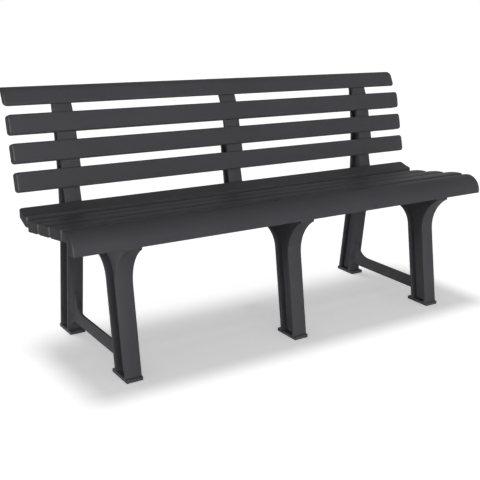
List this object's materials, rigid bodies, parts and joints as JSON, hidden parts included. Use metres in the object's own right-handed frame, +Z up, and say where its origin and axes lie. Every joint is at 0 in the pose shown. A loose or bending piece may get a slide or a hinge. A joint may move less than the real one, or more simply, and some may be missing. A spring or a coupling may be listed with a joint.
{
  "type": "garden bench",
  "caption": "Slatted garden bench with flared I-section frames, a rolled front seat slat and a reclined slatted back under a rolled top rail.",
  "frame": {"origin": "on the floor, under the middle of the bench's bounding box", "axes": "+X along the bench to the right as one sits, +Y to the back, +Z up"},
  "size_m": [1.455, 0.484, 0.732],
  "materials": {
    "frame_plastic": "moulded anthracite plastic with a fine satin grain",
    "slat_plastic": "moulded anthracite plastic with a fine satin grain",
    "screw_steel": "plain stainless steel"
  },
  "bodies": {
    "root": {"left_frame": "frame_plastic", "middle_frame": "frame_plastic", "right_frame": "frame_plastic", "front_nose_slat": "slat_plastic", "seat_slat_1": "slat_plastic", "seat_slat_2": "slat_plastic", "seat_slat_3": "slat_plastic", "seat_rear_slat": "slat_plastic", "back_slat_lower": "slat_plastic", "back_slat_middle": "slat_plastic", "back_slat_upper": "slat_plastic", "top_rail": "slat_plastic", "front_nose_slat_screws": "screw_steel", "seat_slat_1_screws": "screw_steel", "seat_slat_2_screws": "screw_steel", "seat_slat_3_screws": "screw_steel", "seat_rear_slat_screws": "screw_steel", "back_slat_lower_screws": "screw_steel", "back_slat_middle_screws": "screw_steel", "back_slat_upper_screws": "screw_steel", "top_rail_screws": "screw_steel"}
  },
  "joints": []
}
